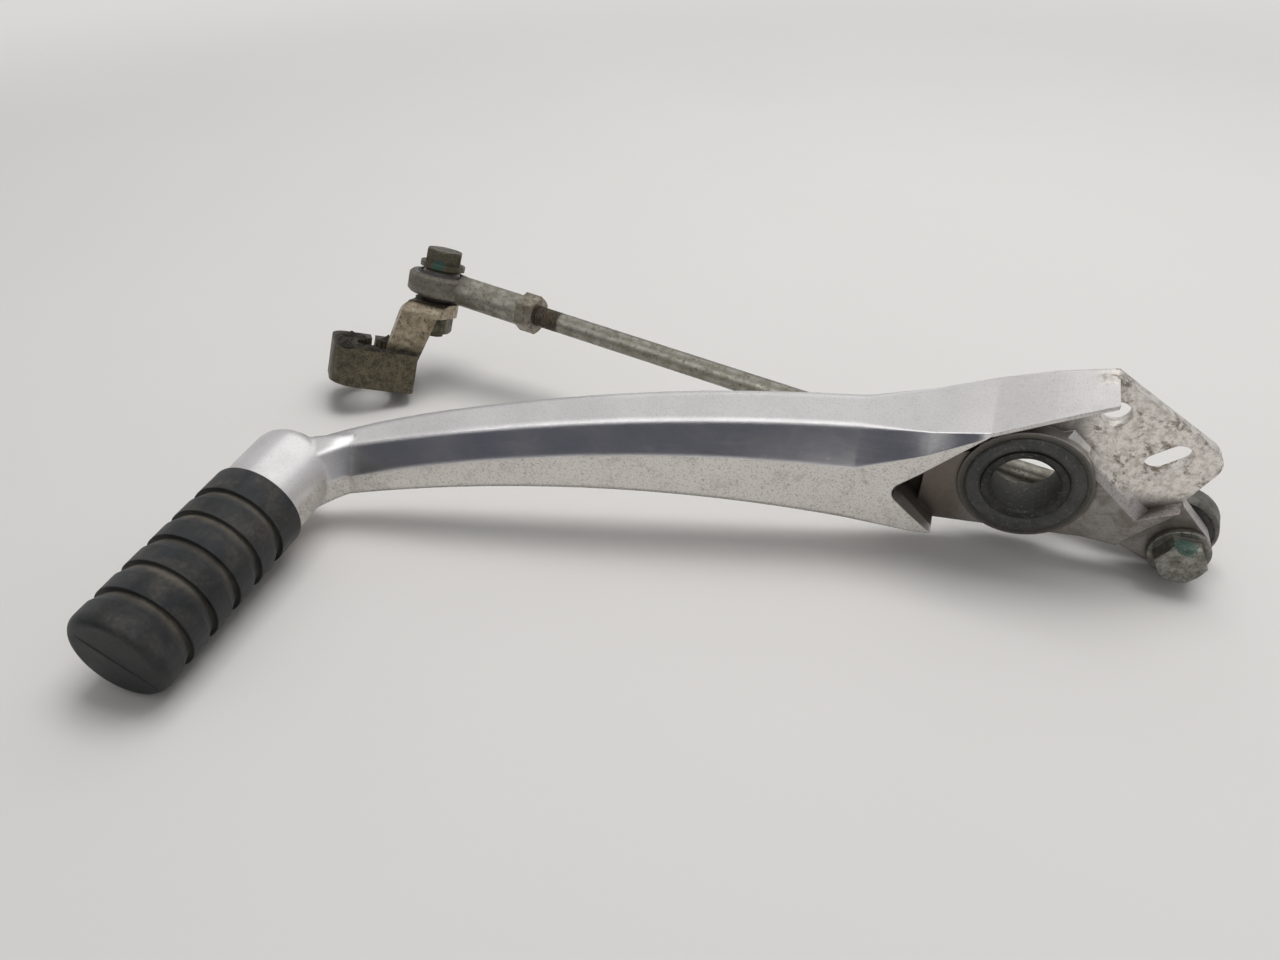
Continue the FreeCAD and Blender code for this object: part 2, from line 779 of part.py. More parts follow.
def build_front_rod_end():
    """Screwed-on eye with a round shank that the rod's thread enters."""
    body = new_body("front_rod_end")
    turn_eye(body)
    revolve(body, "shank", "XY_Plane", "H_Axis",
            [(s.race_radius, 0), (s.race_radius, s.shank_radius), (s.shank_end, s.shank_radius), (s.shank_end, 0)])
    cut(body, "thread_bore", "YZ_Plane", s.shank_end, s.rod_thread_hidden + s.bolt_tail,
        ring(0, 0, s.rod_thread_radius + s.thread_clearance))
    cut_race_seat(body)
    return body


def build_lock_nut():
    body = build_nut("front_lock_nut", s.lock_nut_height, s.rod_thread_radius + s.thread_clearance)
    return body


# Shift arm, modelled along the front bolt with the ball's centre at zero

def pad_outline(sketch):
    """Top plate between the bolt and the bend."""
    reach = s.pad_radius
    outline(sketch, [(s.strip_head_left, s.strip_front), (s.strip_head_right, s.strip_front),
                     (reach * 0.94, reach * -0.34), (reach * -0.42, reach * 0.907)])


def strip_outline(sketch):
    """Front view of the strip that hangs from the top plate and stands on the clamp."""
    top = -s.ball_half_width
    foot = s.clamp_top - s.pad_thick / 2.0
    outline(sketch, [(s.strip_head_left, top), (s.strip_foot_left, foot), (s.strip_foot_right, foot),
                     (s.strip_head_right, top)], {0: s.strip_corner_round})


def clamp_outline(sketch):
    left = s.clamp_across - s.clamp_left
    right = s.clamp_across + s.clamp_right
    front = s.clamp_reach - s.clamp_front
    back = s.clamp_reach + s.clamp_back
    outline(sketch, [(left, front), (right, front), (right, back), (left, back)],
            {0: s.clamp_front_round, 1: s.clamp_corner_round, 2: s.clamp_corner_round, 3: s.clamp_back_round})


def slit_outline(sketch):
    left = s.clamp_across - s.clamp_slit_width / 2.0
    right = left + s.clamp_slit_width
    back = s.clamp_reach + s.clamp_back
    outline(sketch, [(left, s.clamp_reach), (right, s.clamp_reach), (right, back), (left, back)])


def build_shift_arm():
    body = new_body("shift_arm")
    top = -s.ball_half_width
    floor = s.clamp_top - s.clamp_height
    middle = s.clamp_top - s.clamp_height / 2.0
    pad(body, "bolt_pad", "XY_Plane", top - s.pad_thick, s.pad_thick, ring(0, 0, s.pad_radius))
    pad(body, "top_plate", "XY_Plane", top - s.pad_thick, s.pad_thick, pad_outline)
    pad_y(body, "strip", s.strip_front, s.strip_front + s.pad_thick, strip_outline)
    pad(body, "clamp", "XY_Plane", floor, s.clamp_height, clamp_outline)
    round_edges(body, "strip_bend", s.pad_thick * 0.8, lambda edge: all(
        abs(point.y - s.strip_front.value) < 0.01 and abs(point.z - top.value) < 0.01
        for point in edge.discretize(5)))
    cut(body, "bolt_hole", "XY_Plane", top, s.pad_thick, ring(0, 0, s.bolt_radius + s.bolt_clearance))
    cut(body, "shaft_bore", "XY_Plane", s.clamp_top, s.clamp_height,
        ring(s.clamp_across, s.clamp_reach, s.clamp_bore_radius))
    cut(body, "slit", "XY_Plane", s.clamp_top, s.clamp_height, slit_outline)
    cut(body, "pinch_hole", "YZ_Plane", s.clamp_across + s.clamp_right, s.clamp_right + s.clamp_left,
        ring(s.clamp_reach + s.pinch_hole_back, middle, s.pinch_hole_radius))
    return body


# Places of the two joints

def across_to(direction, guide):
    """The part of a guide vector that is square to a direction."""
    return guide.sub(Vector(direction).multiply(guide.dot(direction))).normalize()


def joint_places():
    """Frames of the rear bolt, the rear eye and the front joint."""
    splay = math.radians(s.rod_splay.value)
    rise = math.radians(s.rod_rise.value)
    along = Vector(-math.cos(splay) * math.cos(rise), math.sin(splay), math.cos(splay) * math.sin(rise))
    rear = Vector(s.lug_along.value, s.plate_back.value + s.ball_half_width.value, s.lug_height.value)
    front = rear.add(Vector(along).multiply(s.rod_centres.value))
    head_out = FreeCAD.Rotation(Vector(1, 0, 0), 90.0)
    eye_axis = across_to(along, Vector(0, 1, 0))
    upright = across_to(along, Vector(0, 0, 1))
    inboard = along.cross(upright)
    lean = math.radians(s.joint_lean.value)
    bolt_axis = upright.multiply(math.cos(lean)).add(inboard.multiply(math.sin(lean)))
    back = Vector(along).negative()
    rear_eye = FreeCAD.Rotation(along, eye_axis.cross(along), eye_axis, "XZY")
    front_eye = FreeCAD.Rotation(back, bolt_axis.cross(back), bolt_axis, "XZY")
    return (FreeCAD.Placement(rear, head_out), FreeCAD.Placement(rear, rear_eye),
            FreeCAD.Placement(front, front_eye))


def moved(place, offset, turn=None):
    """A place shifted, and perhaps turned, in its own axes."""
    return place.multiply(FreeCAD.Placement(Vector(*offset), turn or FreeCAD.Rotation()))


def build_joints():
    rear_bolt, rear_eye, front = joint_places()
    half = s.ball_half_width.value
    upside_down = FreeCAD.Rotation(Vector(1, 0, 0), 180.0)
    along_rod = FreeCAD.Rotation(Vector(0, 1, 0), 90.0)
    cranked = FreeCAD.Rotation(Vector(0, 0, 1), s.arm_turn.value)
    lug_thick = s.plate_back - s.lug_face
    build_bolt("rear_joint_bolt", lug_thick + s.ball_half_width * 2.0).Placement = moved(
        rear_bolt, (0, 0, half + lug_thick.value))
    build_nut("rear_joint_nut", s.nut_height, s.bolt_radius + s.thread_clearance).Placement = moved(
        rear_bolt, (0, 0, -half), upside_down)
    build_ball("rear_ball").Placement = rear_bolt
    build_race("rear_race").Placement = rear_eye
    build_boot("rear_inner_boot", 1.0).Placement = rear_eye
    build_boot("rear_outer_boot", -1.0).Placement = rear_eye
    build_tie_rod().Placement = rear_eye
    build_lock_nut().Placement = moved(front, (s.shank_end.value, 0, 0), along_rod)
    build_front_rod_end().Placement = front
    build_race("front_race").Placement = front
    build_boot("front_upper_boot", 1.0).Placement = front
    build_boot("front_lower_boot", -1.0).Placement = front
    build_ball("front_ball").Placement = front
    build_bolt("front_joint_bolt", s.ball_half_width * 2.0 + s.pad_thick).Placement = moved(front, (0, 0, half))
    build_nut("front_joint_nut", s.nut_height, s.bolt_radius + s.thread_clearance).Placement = moved(
        front, (0, 0, -half - s.pad_thick.value), cranked.multiply(upside_down))
    build_shift_arm().Placement = moved(front, (0, 0, 0), cranked)


def check_document():
    doc.recompute()
    for item in doc.Objects:
        if "Invalid" in item.State or "Error" in item.State:
            raise RuntimeError("failed: %s (%s)" % (item.Name, item.State))
    for body in bodies:
        shape = body.Shape
        if shape.isNull() or not shape.isValid() or len(shape.Solids) != 1:
            raise RuntimeError("no single sound solid: " + body.Label)


def export_parts():
    os.makedirs("parts", exist_ok=True)
    for body in bodies:
        body.Shape.exportStep("parts/%s.step" % body.Label)


doc = FreeCAD.newDocument("gear_shift_linkage")
sheet = doc.addObject("Spreadsheet::Sheet", "Sizes")
s = SimpleNamespace(**{alias: Size("Sizes." + alias, value) for alias, value in SIZES.items()})
bodies = []
fill_sheet()
build_pedal_arm()
build_rubber()
build_bush()
build_seal("front_dust_seal", -1.0)
build_seal("rear_dust_seal", 1.0)
build_joints()
check_document()
export_parts()
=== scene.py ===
import json
import math
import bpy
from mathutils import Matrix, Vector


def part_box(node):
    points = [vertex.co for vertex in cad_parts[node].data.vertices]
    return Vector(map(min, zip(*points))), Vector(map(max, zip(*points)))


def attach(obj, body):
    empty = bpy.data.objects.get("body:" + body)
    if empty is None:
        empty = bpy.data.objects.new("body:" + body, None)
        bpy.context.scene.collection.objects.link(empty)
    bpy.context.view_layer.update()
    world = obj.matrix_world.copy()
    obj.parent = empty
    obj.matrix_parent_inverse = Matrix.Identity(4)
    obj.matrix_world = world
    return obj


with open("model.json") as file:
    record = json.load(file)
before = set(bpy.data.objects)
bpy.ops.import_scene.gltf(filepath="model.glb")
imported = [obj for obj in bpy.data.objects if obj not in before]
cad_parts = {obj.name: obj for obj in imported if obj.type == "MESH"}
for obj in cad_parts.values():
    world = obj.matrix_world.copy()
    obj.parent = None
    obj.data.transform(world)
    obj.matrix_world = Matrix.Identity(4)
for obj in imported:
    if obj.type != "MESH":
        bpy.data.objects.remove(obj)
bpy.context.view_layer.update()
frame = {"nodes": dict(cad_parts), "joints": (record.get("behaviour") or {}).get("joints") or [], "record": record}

from types import SimpleNamespace

import bmesh
import bpy
from mathutils import Matrix, Vector, noise

MM = 0.001
FULL_TURN = 2.0 * math.pi
X, Y, Z = Vector((1.0, 0.0, 0.0)), Vector((0.0, 1.0, 0.0)), Vector((0.0, 0.0, 1.0))


# Frames of the two ball joints, the clamp and the rubber's cap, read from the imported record

joints = {joint["name"]: joint for joint in frame["joints"]}
mounts = {mount["name"]: mount for mount in frame["record"]["mounts"]}
rear_ball = Vector(joints["rod_swing"]["pos_m"])
front_ball = Vector(joints["arm_swing"]["pos_m"])
bolt_up = Vector(joints["arm_swing"]["axis"]).normalized()
rod_across = Vector(joints["arm_tilt"]["axis"]).normalized()
rod_back = rod_across.cross(bolt_up)
strip_along = Vector(mounts["pinch_bolt_hole"]["axis"]).normalized()
strip_back = bolt_up.cross(strip_along)
clamp_middle = Vector(mounts["shaft_clamp"]["pos_m"])
rubber_low, rubber_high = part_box("pedal_rubber")
cap = (rubber_low + rubber_high) / 2.0
cap.y = rubber_low.y


def axes(origin, along, across, up):
    """Matrix that carries a piece from its own axes to a place on the part."""
    turn = Matrix((along, across, up)).transposed().to_4x4()
    return Matrix.Translation(origin) @ turn


# Shader node helpers

class Shade:
    """A material and short ways to add nodes to it."""

    def __init__(self, name):
        self.material = bpy.data.materials.new(name)
        self.material.use_nodes = True
        self.nodes = self.material.node_tree.nodes
        self.links = self.material.node_tree.links
        self.surface = self.nodes["Principled BSDF"]
        source = self.nodes.new("ShaderNodeTexCoord")
        self.place = source.outputs["Object"]
        self.normal = source.outputs["Normal"]

    def feed(self, socket, value):
        if isinstance(value, bpy.types.NodeSocket):
            self.links.new(value, socket)
        else:
            socket.default_value = value

    def set(self, **values):
        for name, value in values.items():
            self.feed(self.surface.inputs[name.replace("_", " ")], value)

    def math(self, operation, first, *others):
        """The operation on the first two values, then on its result and each further value."""
        for other in others:
            node = self.nodes.new("ShaderNodeMath")
            node.operation = operation
            self.feed(node.inputs[0], first)
            self.feed(node.inputs[1], other)
            first = node.outputs[0]
        return first

    def times(self, *values):
        return self.math("MULTIPLY", *values)

    def plus(self, *values):
        return self.math("ADD", *values)

    def most(self, *values):
        return self.math("MAXIMUM", *values)

    def without(self, share):
        return self.math("SUBTRACT", 1.0, share)

    def vector_math(self, operation, vector, constant):
        node = self.nodes.new("ShaderNodeVectorMath")
        node.operation = operation
        self.links.new(vector, node.inputs[0])
        node.inputs[1].default_value = constant
        return node.outputs["Value"]

    def stretch(self, scale, turn=(0.0, 0.0, 0.0), shift=(0.0, 0.0, 0.0)):
        node = self.nodes.new("ShaderNodeMapping")
        self.links.new(self.place, node.inputs["Vector"])
        node.inputs["Scale"].default_value = scale
        node.inputs["Rotation"].default_value = turn
        node.inputs["Location"].default_value = shift
        return node.outputs[0]

    def noise(self, scale, detail=4.0, roughness=0.55, distortion=0.0, vector=None):
        node = self.nodes.new("ShaderNodeTexNoise")
        self.links.new(vector or self.place, node.inputs["Vector"])
        node.inputs["Scale"].default_value = scale
        node.inputs["Detail"].default_value = detail
        node.inputs["Roughness"].default_value = roughness
        node.inputs["Distortion"].default_value = distortion
        return node.outputs["Fac"]

    def cells(self, scale):
        node = self.nodes.new("ShaderNodeTexVoronoi")
        self.links.new(self.place, node.inputs["Vector"])
        node.inputs["Scale"].default_value = scale
        return node.outputs["Distance"]

    def span(self, value, low, high, to_low=0.0, to_high=1.0):
        """Smooth step of a value from one level to another; low may be above high."""
        node = self.nodes.new("ShaderNodeMapRange")
        node.interpolation_type = "SMOOTHSTEP"
        self.feed(node.inputs["Value"], value)
        for name, number in (("From Min", low), ("From Max", high), ("To Min", to_low), ("To Max", to_high)):
            node.inputs[name].default_value = number
        return node.outputs["Result"]

    def mix(self, share, first, second):
        node = self.nodes.new("ShaderNodeMix")
        node.data_type = "RGBA"
        self.feed(node.inputs["Factor"], share)
        for socket, value in ((node.inputs[6], first), (node.inputs[7], second)):
            self.feed(socket, value if isinstance(value, bpy.types.NodeSocket) else (*value, 1.0))
        return node.outputs[2]

    def layers(self, colour, *coats):
        """A colour under coats, each a share and a colour."""
        for share, coat in coats:
            colour = self.mix(share, colour, coat)
        return colour

    def part(self, vector, axis):
        node = self.nodes.new("ShaderNodeSeparateXYZ")
        self.links.new(vector, node.inputs[0])
        return node.outputs[axis]

    def near(self, point, radius, edge):
        """1 inside a ball round a point, falling to 0 over an edge."""
        return self.span(self.vector_math("DISTANCE", self.place, point), radius, radius + edge, 1.0, 0.0)

    def along(self, point, axis):
        """Distance from a point along an axis."""
        return self.math("SUBTRACT", self.vector_math("DOT_PRODUCT", self.place, axis), point.dot(axis))

    def facing(self, axis):
        """How far the surface faces along an axis, from -1 to 1."""
        return self.vector_math("DOT_PRODUCT", self.normal, axis)

    def from_y_axis(self, x, z):
        """Distance from a line along Y."""
        flat = self.stretch((1.0, 0.0, 1.0), shift=(-x, 0.0, -z))
        return self.vector_math("LENGTH", flat, (0.0, 0.0, 0.0))

    def crevice(self, reach):
        """1 deep in corners, 0 on open faces."""
        node = self.nodes.new("ShaderNodeAmbientOcclusion")
        node.samples = 6
        node.inputs["Distance"].default_value = reach
        return self.without(node.outputs["AO"])

    def soft_edges(self, radius):
        node = self.nodes.new("ShaderNodeBevel")
        node.samples = 6
        self.feed(node.inputs["Radius"], radius)
        return node.outputs[0]

    def bump(self, height, depth, strength=1.0, under=None):
        node = self.nodes.new("ShaderNodeBump")
        node.inputs["Strength"].default_value = strength
        node.inputs["Distance"].default_value = depth
        self.feed(node.inputs["Height"], height)
        if under:
            self.feed(node.inputs["Normal"], under)
        return node.outputs[0]


# Where the pedal's finish changes: soft edges from none to full, in metres from the pivot (X along the arm,
# Y away from the viewer, Z up) or in shares of the surface normal

FACES_UP, FACES_DOWN, FACES_BACK = (0.4, 0.6), (0.22, 0.08), (0.1, 0.4)
CROWN_HEIGHT = (0.009, 0.012)
SHANK_ALONG = (-0.030, -0.036)
HEAD_ALONG = (-0.034, 0.004)
BOSS_ALONG = (-0.186, -0.196)
CHEEK_STARTS, CHEEK_ENDS = (-0.10, -0.045), (-0.030, -0.033)
CAST_ALONG, CAST_DEPTH = (-0.038, -0.034), (-0.0108, -0.0095)
BACK_ALONG = (-0.15, 0.0)
POCKET_ALONG = (-0.010, -0.020)
HUB_RADIUS = (0.0190, 0.0165)
BAND_ALONG = (0.0, 0.004)
FIN_ALONG, FIN_DEPTH, FIN_HEIGHT = (0.008, 0.014), (-0.0042, -0.0032), (-0.004, 0.004)
EDGE_ALONG, ARM_EDGE, HEAD_EDGE = (-0.05, -0.03), 0.0020, 0.0005


def arm_zones(shade):
    """Masks, from 0 to 1, of the parts of the forging that are finished or dirtied in their own way; the pocket's
    mask also carries painted shade.
    """
    along, depth, height = (shade.part(shade.place, axis) for axis in range(3))
    upward = shade.part(shade.normal, 2)
    faces_up = shade.span(upward, *FACES_UP)
    crown = shade.times(faces_up, shade.span(height, *CROWN_HEIGHT))
    shank_top = shade.times(faces_up, shade.span(along, *SHANK_ALONG))
    not_up = shade.without(shade.most(crown, shank_top))
    behind = shade.span(shade.part(shade.normal, 1), *FACES_BACK)
    cast = shade.times(shade.span(along, *CAST_ALONG), shade.span(depth, *CAST_DEPTH),
                       not_up, shade.without(behind))
    return SimpleNamespace(
        along=along,
        faces_up=faces_up,
        faces_down=shade.span(upward, *FACES_DOWN),
        head=shade.span(along, *HEAD_ALONG),
        boss=shade.span(along, *BOSS_ALONG),
        cheek=shade.times(shade.span(along, *CHEEK_STARTS), shade.span(along, *CHEEK_ENDS), not_up),
        cast=cast,
        back=shade.times(behind, shade.span(along, *BACK_ALONG, 0.35, 1.0)),
        pocket=shade.times(cast, shade.span(along, *POCKET_ALONG)),
        hub=shade.times(cast, shade.span(shade.from_y_axis(0.0, 0.0), *HUB_RADIUS)),
        band=shade.times(cast, faces_up, shade.span(along, *BAND_ALONG)),
        fin=shade.times(shade.span(along, *FIN_ALONG), shade.span(depth, *FIN_DEPTH),
                        shade.span(height, *FIN_HEIGHT)))


# Materials

def alloy():
    """Polished forging: bright crown and facets, satin underside, rough cast hub, a dirtied fin, painted shade in
    corners and in the pocket.
    """
    shade = Shade("worn_polished_alloy")
    zone = arm_zones(shade)

    cloud = shade.noise(70.0, 5.0, 0.6)
    blotch = shade.noise(150.0, 6.0, 0.68, 0.6)
    fine = shade.noise(520.0, 4.0, 0.65)
    streak = shade.noise(1.0, 3.0, 0.6, vector=shade.stretch((25.0, 900.0, 900.0)))
    scuff = shade.noise(1.0, 2.0, 0.5, vector=shade.stretch((1500.0, 60.0, 300.0), (0.3, 0.5, 0.7)))
    grain = shade.noise(2600.0, 2.0)
    speckle = shade.span(shade.noise(2000.0, 3.0, 0.6), 0.52, 0.66)
    patchy = shade.span(shade.noise(110.0, 3.0), 0.42, 0.62)

    dull = shade.most(shade.times(zone.faces_down, 0.9), shade.times(zone.head, 0.25),
                      shade.times(zone.back, 0.8), zone.cast, shade.times(zone.cheek, 0.05))
    pits = shade.times(shade.span(shade.cells(620.0), 0.2, 0.06), patchy, shade.span(dull, 0.02, 0.8))
    dirt = shade.times(speckle, shade.most(shade.times(dull, 0.55), 0.16),
                       shade.without(shade.times(zone.fin, 0.6)))
    rust = shade.times(shade.span(blotch, 0.50, 0.60), shade.span(fine, 0.38, 0.56),
                       shade.most(shade.times(zone.fin, 0.75), shade.times(dull, 0.22)))
    # Corners from ambient occlusion, darkened in a dark dirt colour: painted shade in the crevices as well as
    # dirt.
    corners = shade.span(shade.crevice(0.007), 0.12, 0.6)
    grime_and_shade = shade.times(corners, shade.most(shade.times(zone.cast, 0.95), 0.15))

    clean = shade.mix(shade.span(cloud, 0.35, 0.7), (0.80, 0.79, 0.79), (0.71, 0.70, 0.70))
    satin = (0.73, 0.70, 0.665)
    rough_cast = shade.mix(shade.span(blotch, 0.35, 0.7), (0.33, 0.312, 0.293), (0.205, 0.188, 0.170))
    fin_face = shade.mix(shade.span(fine, 0.4, 0.65), (0.86, 0.82, 0.77), (0.60, 0.56, 0.515))
    shade.set(Base_Color=shade.layers(
        clean,
        (dull, satin),
        (zone.cast, rough_cast),
        # The deep pocket is painted dark brown: dirty cast metal and painted shade of the recess.
        (shade.times(zone.pocket, 0.8), (0.14, 0.115, 0.095)),
        (shade.times(zone.band, 0.8), (0.60, 0.565, 0.56)),
        (zone.fin, fin_face),
        (shade.times(zone.hub, 0.9), (0.055, 0.056, 0.049)),
        (shade.times(rust, 0.9), (0.20, 0.155, 0.11)),
        (dirt, (0.16, 0.145, 0.13)),
        (shade.times(pits, 0.7), (0.17, 0.155, 0.14)),
        # Dirt and painted shade in the corners, strongest in the cast zone.
        (grime_and_shade, (0.085, 0.07, 0.058))))

    shade.set(Metallic=1.0, Roughness=shade.plus(
        shade.span(cloud, 0.3, 0.75, 0.17, 0.24),
        shade.span(streak, 0.45, 0.7, 0.0, 0.02),
        shade.span(scuff, 0.62, 0.74, 0.0, 0.03),
        shade.times(shade.most(zone.faces_up, zone.boss), 0.14),
        shade.times(dull, 0.2),
        shade.times(shade.most(rust, grime_and_shade), 0.25)))
    relief = shade.plus(
        shade.math("SUBTRACT", shade.times(grain, shade.span(dull, 0.0, 1.0, 0.12, 0.7)), pits),
        shade.times(shade.plus(streak, scuff), 0.015),
        shade.times(fine, zone.cast, 0.9))
    edges = shade.soft_edges(shade.span(zone.along, *EDGE_ALONG, ARM_EDGE, HEAD_EDGE))
    shade.set(Normal=shade.bump(relief, 0.00007, 0.6, edges))
    return shade.material


GROOVE_RADIUS = (0.01405, 0.01285)
CAP_RIM = (0.004, 0.006)


def rubber():
    """Black rubber with dust on top and in the grooves, and a green cast on the cap."""
    shade = Shade("ribbed_rubber")
    field = shade.noise(90.0, 6.0, 0.65, 0.4)
    speck = shade.noise(900.0, 3.0, 0.6)
    smear = shade.noise(1.0, 3.0, 0.6, vector=shade.stretch((160.0, 40.0, 160.0)))
    faces_up = shade.span(shade.part(shade.normal, 2), -0.3, 0.8)
    groove = shade.times(shade.span(shade.from_y_axis(cap.x, cap.z), *GROOVE_RADIUS),
                         shade.span(shade.part(shade.place, 1), *(cap.y + inset for inset in CAP_RIM)))
    film = shade.times(shade.span(field, 0.40, 0.70), shade.span(speck, 0.3, 0.7, 0.4, 1.0),
                       shade.plus(shade.times(faces_up, 0.22), 0.08))
    lodged = shade.times(groove, shade.plus(shade.times(faces_up, 0.4), 0.12),
                         shade.span(field, 0.3, 0.6, 0.5, 1.0))
    ground = shade.mix(shade.span(smear, 0.35, 0.65), (0.012, 0.0135, 0.0155), (0.023, 0.025, 0.028))
    cap_face = shade.span(shade.part(shade.normal, 1), -0.75, -0.95)
    shade.set(Base_Color=shade.layers(
        ground,
        (cap_face, (0.012, 0.017, 0.016)),
        (shade.plus(film, lodged), (0.20, 0.178, 0.145))))
    shade.set(Roughness=shade.span(field, 0.3, 0.7, 0.42, 0.60), Specular_IOR_Level=0.32)
    relief = shade.plus(shade.noise(1500.0, 4.0, 0.6), shade.noise(200.0, 2.0))
    shade.set(Normal=shade.bump(relief, 0.00006, 0.35, shade.soft_edges(0.0006)))
    return shade.material


def seal():
    shade = Shade("seal_rubber_grey")
    wear = shade.noise(210.0, 6.0, 0.65, 0.3)
    ground = shade.mix(shade.span(wear, 0.35, 0.7), (0.033, 0.037, 0.034), (0.078, 0.076, 0.069))
    specks = shade.span(shade.noise(1100.0, 2.0), 0.6, 0.7)
    shade.set(Base_Color=shade.mix(shade.times(specks, 0.25), ground, (0.30, 0.27, 0.23)))
    shade.set(Roughness=shade.span(wear, 0.3, 0.7, 0.42, 0.62), Specular_IOR_Level=0.5)
    shade.set(Normal=shade.bump(wear, 0.00008, 0.5, shade.soft_edges(0.0005)))
    return shade.material


def dirty_metal(name, bright, dark, grime_and_shade, rust, scale, rough,
                grime_from=0.5, marks=(), zones=(), edge=0.0006):
    """Plated steel: mottled plating, dirty patches, corners darkened as dirt and painted shade, rust specks,
    darker zones and paint marks.
    """
    shade = Shade(name)
    mottle = shade.noise(scale, 5.0, 0.65, 0.3)
    fine = shade.noise(scale * 6.0, 4.0, 0.6)
    patch = shade.noise(scale * 1.7, 6.0, 0.7, 0.5)
    specks = shade.span(shade.noise(scale * 4.0, 3.0, 0.6), 0.58, 0.66)
    # Dirty patches, and corners found by ambient occlusion, darkened as painted shade.
    soiled_and_shaded = shade.most(shade.times(shade.span(patch, grime_from, grime_from + 0.16),
                                    shade.span(fine, 0.3, 0.65, 0.35, 1.0)),
                        shade.span(shade.crevice(0.003), 0.2, 0.7))
    colour = shade.layers(
        shade.mix(shade.span(mottle, 0.32, 0.68), bright, dark),
        (soiled_and_shaded, grime_and_shade),
        (shade.times(specks, 0.75), rust))
    for mask, low, high in zones:
        zone = mask(shade)
        greasy = shade.mix(shade.span(patch, 0.35, 0.65), low, high)
        colour = shade.mix(shade.times(zone, shade.span(fine, 0.2, 0.6, 0.7, 1.0)), colour, greasy)
        soiled_and_shaded = shade.most(soiled_and_shaded, shade.times(zone, 0.6))
    metal = shade.without(shade.times(soiled_and_shaded, 0.8))
    for point, radius, tint in marks:
        ragged = shade.plus(shade.near(point, radius * 0.5, radius), shade.span(patch, 0.3, 0.7, -0.3, 0.3))
        paint = shade.times(shade.span(ragged, 0.5, 0.62), shade.span(fine, 0.35, 0.55, 0.3, 1.0))
        colour = shade.mix(shade.times(paint, 0.9), colour, tint)
        metal = shade.times(metal, shade.without(paint))
    shade.set(Base_Color=colour, Metallic=metal)
    shade.set(Roughness=shade.plus(shade.span(mottle, 0.3, 0.7, rough, rough + 0.14),
                                   shade.times(soiled_and_shaded, 0.25)))
    relief = shade.plus(shade.times(fine, 0.5), soiled_and_shaded)
    shade.set(Normal=shade.bump(relief, 0.00014, 0.6, shade.soft_edges(edge)))
    return shade.material


def greasy_bush():
    shade = Shade("bush_steel_greasy")
    film = shade.noise(260.0, 6.0, 0.65, 0.4)
    ground = shade.mix(shade.span(film, 0.35, 0.65), (0.016, 0.017, 0.015), (0.045, 0.044, 0.038))
    specks = shade.span(shade.noise(1200.0, 2.0), 0.6, 0.68)
    shade.set(Base_Color=shade.mix(shade.times(specks, 0.4), ground, (0.20, 0.18, 0.15)))
    shade.set(Roughness=shade.span(film, 0.3, 0.7, 0.45, 0.62), Specular_IOR_Level=0.3)
    shade.set(Normal=shade.bump(film, 0.0001, 0.6, shade.soft_edges(0.0005)))
    return shade.material


def liner():
    shade = Shade("joint_liner")
    field = shade.noise(400.0, 4.0)
    shade.set(Base_Color=shade.mix(field, (0.05, 0.05, 0.05), (0.12, 0.115, 0.105)))
    shade.set(Roughness=shade.span(field, 0.3, 0.7, 0.35, 0.55))
    return shade.material


def boot():
    shade = Shade("joint_boot")
    field = shade.noise(500.0, 5.0, 0.6)
    shade.set(Base_Color=shade.mix(shade.span(field, 0.4, 0.75), (0.016, 0.016, 0.016), (0.07, 0.062, 0.05)))
    shade.set(Roughness=shade.span(field, 0.3, 0.7, 0.4, 0.65))
    shade.set(Normal=shade.bump(field, 0.0001, 0.5))
    return shade.material


def black_grease():
    shade = Shade("black_grease")
    field = shade.noise(420.0, 5.0, 0.65, 0.4)
    ground = shade.mix(shade.span(field, 0.38, 0.7), (0.009, 0.008, 0.006), (0.040, 0.033, 0.023))
    specks = shade.span(shade.noise(1600.0, 2.0), 0.6, 0.68)
    shade.set(Base_Color=shade.mix(shade.times(specks, 0.5), ground, (0.13, 0.105, 0.07)))
    shade.set(Roughness=shade.span(field, 0.3, 0.7, 0.42, 0.7), Specular_IOR_Level=0.25)
    relief = shade.plus(field, shade.times(shade.noise(1400.0, 3.0), 0.5))
    shade.set(Normal=shade.bump(relief, 0.0005, 0.9))
    return shade.material


# Paint marks and darker zones on the steel, in metres from the ball joints

GREEN = (0.008, 0.078, 0.056)
rear_mark = rear_ball + Vector((-0.0005, -0.0176, 0.0066))
front_mark = front_ball + bolt_up * 0.0075 + Vector((0.0016, -0.0062, 0.0026))
REAR_MARK_RADIUS, FRONT_MARK_RADIUS = 0.0032, 0.0024
THREAD_STARTS, THREAD_ENDS = (0.0405, 0.042), (0.0525, 0.051)
EYE_RADIUS, FRONT_EYE_EDGE, REAR_EYE_EDGE, FRONT_EYE_RISE = 0.0105, 0.004, 0.003, 0.002
CLAMP_BELOW = (-0.020, -0.0245)


def thread_zone(shade):
    reach = shade.along(front_ball, rod_back)
    return shade.times(shade.span(reach, *THREAD_STARTS), shade.span(reach, *THREAD_ENDS))


def eye_zone(shade):
    return shade.near(front_ball + bolt_up * FRONT_EYE_RISE, EYE_RADIUS, FRONT_EYE_EDGE)


def rear_eye_zone(shade):
    return shade.near(rear_ball, EYE_RADIUS, REAR_EYE_EDGE)


def clamp_zone(shade):
    return shade.span(shade.along(front_ball, bolt_up), *CLAMP_BELOW)


def clamp_top_zone(shade):
    return shade.times(clamp_zone(shade), shade.span(shade.facing(bolt_up), 0.4, 0.7))


